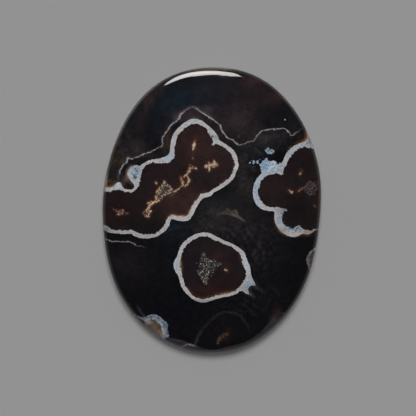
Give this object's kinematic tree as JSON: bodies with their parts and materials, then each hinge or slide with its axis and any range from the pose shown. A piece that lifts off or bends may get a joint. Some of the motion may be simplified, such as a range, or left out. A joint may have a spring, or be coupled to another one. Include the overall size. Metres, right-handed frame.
{
  "type": "banded agate cabochon",
  "caption": "Oval polished cabochon of near-black banded agate, with a low dome, a rounded shoulder and a flat back to rest on.",
  "frame": {"origin": "middle of the flat back, on the surface that the stone rests on", "axes": "+Z out of the dome, +Y along the stone's long axis, +X along its width"},
  "size_m": [0.0306, 0.04, 0.0052],
  "materials": {
    "agate": "polished"
  },
  "bodies": {
    "root": {"agate_cabochon": "agate"}
  },
  "joints": []
}
